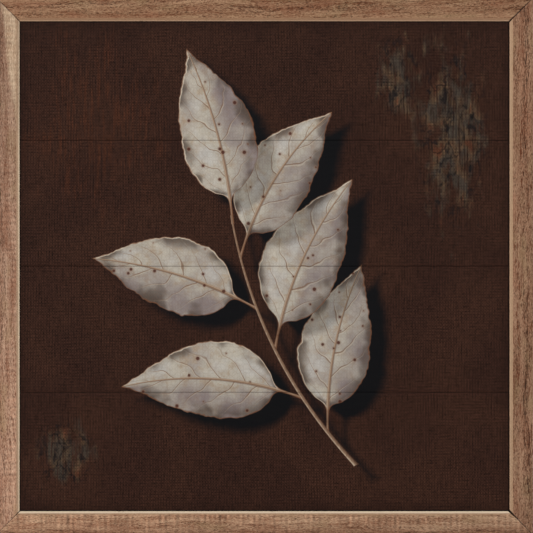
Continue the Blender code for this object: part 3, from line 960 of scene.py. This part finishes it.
def rail_section():
    corners = [
        (0, BACK_Y, EDGE_ROUND),
        (0, FRONT_Y, OUTER_EASE),
        (RAIL_FACE - INNER_CHAMFER, FRONT_Y, EDGE_ROUND),
        (RAIL_FACE, FRONT_Y + INNER_CHAMFER, EDGE_ROUND),
        (RAIL_FACE, FRONT_Y + LIP, EDGE_ROUND),
        (RAIL_LEG, FRONT_Y + LIP, 0),
        (RAIL_LEG, BACK_Y, EDGE_ROUND),
    ]
    return divided(filleted(corners), RAIL_STEP)


def edge_nearness(point):
    """1 on the front's outer edge and on both edges of the chamfer, 0 well away from them."""
    edges = ((0, FRONT_Y), (RAIL_FACE - INNER_CHAMFER, FRONT_Y), (RAIL_FACE, FRONT_Y + INNER_CHAMFER))
    away = min((point - Vector(edge)).length for edge in edges)
    return max(0.0, 1 - away / NICK_REACH)


def rail_wear(side, along, point, nearness):
    """How far the wood is worn back at a point of a rail's front or outer face."""
    seed = RAIL_LOOKS[side]["seed"]
    across, y = point
    deep = WAVE_DEEP * (0.5 + 0.5 * noise.noise((along * 17, across * 60, y * 60 + seed)))
    deep += CHATTER_DEEP[side] * (0.5 + 0.5 * math.sin(2 * math.pi * along / CHATTER_PITCH))
    chip = noise.noise((along * 120, across * 90, y * 90 + seed + 7.0))
    return deep + NICK_DEEP * nearness * max(0.0, chip - 0.45)


def mitre_gap(across, corner):
    """How far a rail's end stands back from the mitre's middle, along the rail."""
    open_share = max(0.0, 1 - (RAIL_FACE - across) / MITRE_REACH)
    return (MITRE_SHUT + MITRES[corner][0] * open_share) / math.sqrt(2)


def add_rail(number, side):
    turn = Matrix.Rotation(number * math.pi / 2, 3, "Y")
    section = rail_section()
    worn = []
    for point, normal in zip(section, outward(section)):
        shows = point.x < 1e-5 or point.y < FRONT_Y + LIP - 1e-5
        worn.append((point, normal if shows else None, edge_nearness(point)))

    def ring_at(share):
        corner = CORNERS[number] if share < 0.5 else CORNERS[number - 1]
        for point, normal, nearness in worn:
            along = (2 * share - 1) * (OUTER / 2 - point.x - mitre_gap(point.x, corner))
            if normal is not None:
                point = point - normal * rail_wear(side, along, point, nearness)
            yield turn @ Vector((along, point.y, point.x - OUTER / 2)) + CENTRE

    node = f"frame_rail_{side}"
    bm = swept(RAIL_STATIONS, ring_at)
    add_piece(f"{node}_wood", bm, [frame_wood(side)], node)


def plank_section(number):
    """A plank's closed outline as (z from its centre, y)."""
    half, far = PLANK_HALF, PLANK_HALF + LAP_LONG
    corners = [(-half, PLANK_FRONT_Y, PLANK_ROUND), (half, PLANK_FRONT_Y, PLANK_ROUND)]
    if number > 1:
        tongue = PLANK_LAP_Y + TOUCH / 2
        corners += [(half, tongue, 0), (far, tongue, 0), (far, PLANK_BACK_Y, EDGE_ROUND)]
    else:
        corners += [(half, PLANK_BACK_Y, EDGE_ROUND)]
    if number < PLANK_COUNT:
        rebate, inner = PLANK_LAP_Y - TOUCH / 2, LAP_LONG + TOUCH - half
        corners += [(inner, PLANK_BACK_Y, EDGE_ROUND), (inner, rebate, 0), (-half, rebate, 0)]
    else:
        corners += [(-half, PLANK_BACK_Y, EDGE_ROUND)]
    return divided(filleted(corners), PLANK_STEP)


def add_plank(number, print_material, pine):
    middle = CENTRE_Z + ((PLANK_COUNT + 1) / 2 - number) * PLANK_PITCH
    section = plank_section(number)

    def ring_at(share):
        x = PLANK_HALF_LONG * (2 * share - 1)
        for z, y in section:
            if y < PLANK_FRONT_Y + PLANK_ROUND + 1e-6:
                y += PLANK_WAVE * (0.5 + 0.5 * noise.noise((x * 8, z * 45, number * 5.0)))
            ragged = PLANK_RAGGED * max(0.0, noise.noise((x * 55, z * 9, number * 3.0)))
            if abs(z) > PLANK_HALF - 1e-5 and y < PLANK_FRONT_Y + 4 * PLANK_ROUND:
                z -= math.copysign(ragged, z)
            yield x, y, middle + z

    bm = swept(PLANK_STATIONS, ring_at)
    # the print material reaches down the edges as far as the lap, where it paints them dark as painted
    # shade in the grooves
    for face in bm.faces:
        if face.calc_center_median().y > PLANK_LAP_Y + TOUCH:
            face.material_index = 1
    node = f"plank_{number}"
    add_piece(f"{node}_board", bm, [print_material, pine], node)


BATTEN_ROUND = 0.0011
BATTEN_STATIONS = 90
BATTEN_STEP = 0.004
BATTEN_WAVE = 0.00025
SCREW_SIDES = 32
HOLE_CLEAR = 0.0002
# How far the shape that cuts a screw hole starts behind the batten
HOLE_OVER = 0.002


def screw_nodes():
    return [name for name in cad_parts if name.startswith("batten_screw")]


def round_place(node):
    """The middle of a round fixing's back, its radius, and how deep it reaches."""
    low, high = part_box(node)
    at = Vector(((low[0] + high[0]) / 2, high[1], (low[2] + high[2]) / 2))
    return at, (high[0] - low[0]) / 2, high[1] - low[1]


def screw_holes(side):
    holes = bmesh.new()
    for node in screw_nodes():
        if f"_{side}_" in node:
            at, head, long = round_place(node)
            head += HOLE_CLEAR
            shank = SCREW_SHANK_R + HOLE_CLEAR
            neck = -SCREW_RIM - (head - shank)
            profile = [(0, HOLE_OVER), (head, HOLE_OVER), (head, -SCREW_RIM)]
            profile += [(shank, neck), (shank, -long), (0, -long)]
            turned(profile, SCREW_SIDES, at, holes)
    return holes


def add_batten(side, material):
    """An upright with eased edges and countersunk screw holes."""
    node = f"batten_{side}"
    low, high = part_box(node)
    middle, half = (low[0] + high[0]) / 2, (high[0] - low[0]) / 2
    corners = [
        (-half, high[1], BATTEN_ROUND),
        (-half, low[1], EDGE_ROUND),
        (half, low[1], EDGE_ROUND),
        (half, high[1], BATTEN_ROUND),
    ]
    section = divided(filleted(corners), BATTEN_STEP)
    normals = outward(section)

    def ring_at(share):
        z = low[2] + (high[2] - low[2]) * share
        for point, normal in zip(section, normals):
            if point.y > low[1] + EDGE_ROUND:
                wave = noise.noise((point.x * 40 + middle * 9, point.y * 40, z * 14))
                point = point - normal * (BATTEN_WAVE * (0.5 + 0.5 * wave))
            yield middle + point.x, point.y, z

    bm = carved(swept(BATTEN_STATIONS, ring_at), screw_holes(side))
    add_piece(f"{node}_pine", bm, [material], node, sharp=35)


THREAD_PITCH = 0.0018
THREAD_ROWS = 6
THREAD_CORE = 0.0012
THREAD_RIDGE = 0.0006
THREAD_WIDE = 0.5
THREAD_FROM = 0.006
# The cross recess above the head and at its bottom: half an arm's length, half its width, and y
RECESS = ((0.0022, 0.0005, 0.0006), (0.0011, 0.0002, -RECESS_DEEP))


def threaded(bm, long, first):
    """Raises the thread's ridge on the shank's rows from the first one to the tip."""
    for vert in bm.verts:
        if -long < vert.co.y < first:
            radius = math.hypot(vert.co.x, vert.co.z)
            phase = (vert.co.y / THREAD_PITCH - math.atan2(vert.co.z, vert.co.x) / (2 * math.pi)) % 1
            ridge = max(0.0, 1 - abs(2 * phase - 1) / THREAD_WIDE)
            grow = 1 + THREAD_RIDGE * ridge / max(radius, THREAD_CORE / 2)
            vert.co.x *= grow
            vert.co.z *= grow


def screw_blank(head, long):
    """A countersunk screw from its head's middle at the origin, threaded, with a cross recess."""
    rows = [(0, 0), (head * 0.93, 0), (head, -SCREW_RIM * 0.4), (head, -SCREW_RIM)]
    neck = -SCREW_RIM - (head - SCREW_SHANK_R)
    rows += [(SCREW_SHANK_R, neck), (SCREW_SHANK_R, -THREAD_FROM)]
    step = THREAD_PITCH / THREAD_ROWS
    turns = round((long - THREAD_FROM) / step)
    for i in range(1, turns):
        y = -THREAD_FROM - (long - THREAD_FROM) * i / turns
        rows.append((min(THREAD_CORE, THREAD_CORE * (long + y) / SCREW_TIP), y))
    rows.append((0, -long))
    bm = turned(rows, SCREW_SIDES)
    threaded(bm, long, -THREAD_FROM - step / 2)
    recess = bmesh.new()
    rings = []
    for long_half, wide_half, y in RECESS:
        quarter = [(wide_half, wide_half), (wide_half, long_half), (-wide_half, long_half)]
        points = [Matrix.Rotation(math.pi / 2 * k, 2) @ Vector(p) for k in range(4) for p in quarter]
        rings.append([recess.verts.new((x, y, z)) for x, z in points])
    bridge(recess, rings)
    return mesh_from("screw_blank", carved(bm, recess))


def add_screws(material):
    draw = random.Random(11)
    _, head, long = round_place(screw_nodes()[0])
    blank = screw_blank(head, long)
    for node in screw_nodes():
        at, _, _ = round_place(node)
        bm = bmesh.new()
        bm.from_mesh(blank)
        turn = Matrix.Rotation(draw.uniform(0, math.pi / 2), 4, "Y")
        bm.transform(Matrix.Translation(at) @ turn)
        add_piece(f"{node}_steel", bm, [material], node, sharp=32)


V_PROUD = 0.00012
V_BEVEL = 0.0001
POINT_BEVEL = 0.00012
STRIP_BEVEL = 0.00012
STRIP_STEP = 0.0005


def add_refined(node, material, bevel, proud=0.0):
    """A copy of a CAD node's mesh with its edges rounded. What reaches furthest back stands proud
    of the frame's back by the last value, where one is given."""
    bm = bmesh.new()
    bm.from_mesh(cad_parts[node].data)
    bmesh.ops.remove_doubles(bm, verts=bm.verts, dist=1e-6)
    bmesh.ops.dissolve_limit(bm, angle_limit=math.radians(0.5), verts=bm.verts, edges=bm.edges)
    if proud:
        back = max(vert.co.y for vert in bm.verts)
        for vert in bm.verts:
            if vert.co.y > back - 1e-5:
                vert.co.y = BACK_Y + proud
    soften(bm, 40, bevel)
    add_piece(f"{node}_finished", bm, [material], node, sharp=30)


def strip_edges(x):
    """The hanger's lower and upper edge, and how far it stands off the rail, at a place along it."""
    away = abs(x)
    low, high = STRIP_LOW[2], STRIP_HIGH[2]
    if away < (TOOTH_NOTCHES_A_SIDE + 0.5) * TOOTH_PITCH:
        notch = abs((x / TOOTH_PITCH) % 1 - 0.5) * 2
        low += TOOTH_DEEP * min(1.0, notch * 1.04)
    clip = max(0.0, away - (STRIP_HIGH[0] - STRIP_CLIP))
    t = min(1.0, max(0.0, (STRIP_TAB_FROM - away) / (STRIP_TAB_FROM - STRIP_RAISED_TO)))
    return low + clip, high - clip, STRIP_RAISE * t * t * (3 - 2 * t)


def add_hanger(material):
    """The sawtooth strip, with rounded bends and edges."""
    half = STRIP_HIGH[0]

    def ring_at(share):
        x = half * (2 * share - 1)
        low, high, raised = strip_edges(x)
        near = STRIP_LOW[1] + raised
        far = near + STRIP_THICK
        return (x, near, low), (x, near, high), (x, far, high), (x, far, low)

    bm = swept(round(2 * half / STRIP_STEP), ring_at)
    soften(bm, 50, STRIP_BEVEL)
    add_piece("sawtooth_hanger_strip", bm, [material], "sawtooth_hanger", sharp=35)


DOME_STEPS = 6
NAIL_SIDES = 36
NAIL_HEAD_THICK = 0.0008
NAIL_SHANK_R = 0.0009
NAIL_POINT = 0.0022
BUMPER_SIDES = 56
BUMPER_DOME = 0.0003
BUMPER_ROUND = 0.0012


def dome(radius, deep):
    """The profile of a shallow dome, from its top outwards."""
    shares = [step / DOME_STEPS for step in range(DOME_STEPS)]
    return [(radius * share, -deep * share * share) for share in shares]


def add_nail(side, material):
    node = f"hanger_nail_{side}"
    at, head, long = round_place(node)
    profile = dome(head, NAIL_HEAD_THICK * 0.45)
    profile += [
        (head * 0.97, -NAIL_HEAD_THICK * 0.55),
        (head, -NAIL_HEAD_THICK * 0.75),
        (head * 0.96, -NAIL_HEAD_THICK),
        (NAIL_SHANK_R * 1.2, -NAIL_HEAD_THICK),
        (NAIL_SHANK_R, -NAIL_HEAD_THICK * 1.6),
        (NAIL_SHANK_R, NAIL_POINT - long),
        (0, -long),
    ]
    bm = turned(profile, NAIL_SIDES, at)
    add_piece(f"{node}_steel", bm, [material], node, sharp=50)


def add_bumper(side, material):
    """A rubber disc, slightly domed where it meets the wall, with a flared foot on the frame."""
    node = f"wall_bumper_{side}"
    at, radius, thick = round_place(node)
    profile = dome(radius * 0.8, BUMPER_DOME)
    for step in range(DOME_STEPS + 1):
        turn = math.pi / 2 * step / DOME_STEPS
        y = -BUMPER_DOME - BUMPER_ROUND * (1 - math.cos(turn))
        profile.append((radius * (0.78 + 0.18 * math.sin(turn)), y))
    profile += [(radius * 0.97, -thick * 0.8), (radius, -thick * 0.93), (radius, -thick), (0, -thick)]
    bm = turned(profile, BUMPER_SIDES, at)
    add_piece(f"{node}_rubber", bm, [material], node, sharp=45)


def add_floor():
    bm = bmesh.new()
    bmesh.ops.create_grid(bm, x_segments=1, y_segments=1, size=FLOOR_HALF)
    mesh = bpy.data.meshes.new("floor")
    bm.to_mesh(mesh)
    bm.free()
    mesh.materials.append(pale_floor())
    floor = linked("floor", mesh)
    floor.location = (0, 0, cad_low[2] - TOUCH)


def add_light(name, offset, size, watts):
    """A square soft light that faces the picture's centre."""
    lamp = bpy.data.lights.new(name, "AREA")
    lamp.size = size
    lamp.energy = watts
    light = linked(name, lamp)
    light.location = CENTRE + Vector(offset)
    light.rotation_euler = (-Vector(offset)).to_track_quat("-Z", "Y").to_euler()


def add_sky():
    world = bpy.data.worlds.new("studio")
    world.use_nodes = True
    sky = world.node_tree.nodes["Background"]
    sky.inputs["Color"].default_value = SKY_COLOUR
    sky.inputs["Strength"].default_value = SKY_STRENGTH
    bpy.context.scene.world = world


def add_camera():
    """The camera straight in front, as far off as its lens needs for the photograph's frame."""
    pixel = MM_PER_PIXEL / MM
    data = bpy.data.cameras.new("camera")
    data.lens = CAMERA_LENS
    data.sensor_width = CAMERA_SENSOR
    data.clip_end = 50.0
    camera = linked("camera", data)
    away = PHOTO_PIXELS * pixel * CAMERA_LENS / CAMERA_SENSOR
    right, down = CENTRE_LEFT_PIXELS * pixel, CENTRE_UP_PIXELS * pixel
    camera.location = (right, FRONT_Y - away, CENTRE_Z - down)
    camera.rotation_euler = (math.pi / 2, 0, 0)
    bpy.context.scene.camera = camera


def add_panel():
    print_material = printed_wood()
    draw = random.Random(5)
    for number in range(1, PLANK_COUNT + 1):
        middle = ((PLANK_COUNT + 1) / 2 - number) * PLANK_PITCH * MM + draw.uniform(-40, 40)
        pine = raw_pine(f"raw_pine_plank_{number}", False, middle, number * 2.7)
        add_plank(number, print_material, pine)
    for number, side in enumerate(("left", "right")):
        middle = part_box(f"batten_{side}")[0][0] * MM + draw.uniform(-10, 20)
        add_batten(side, raw_pine(f"raw_pine_batten_{side}", True, middle, 5.3 + 4.1 * number))


def add_fixings():
    steel = zinc_steel()
    rubber = black_rubber()
    add_screws(steel)
    add_hanger(steel)
    for side in ("left", "right"):
        add_nail(side, steel)
        add_bumper(side, rubber)
    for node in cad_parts:
        if node.startswith("framer_point"):
            add_refined(node, steel, POINT_BEVEL)
        elif node.startswith("v_nail"):
            add_refined(node, steel, V_BEVEL, V_PROUD)


def main():
    for number, side in enumerate(SIDES):
        add_rail(number, side)
    add_panel()
    add_fixings()
    add_floor()
    for light in LIGHTS:
        add_light(*light)
    add_sky()
    add_camera()
    bpy.context.scene.view_settings.view_transform = "Standard"


main()
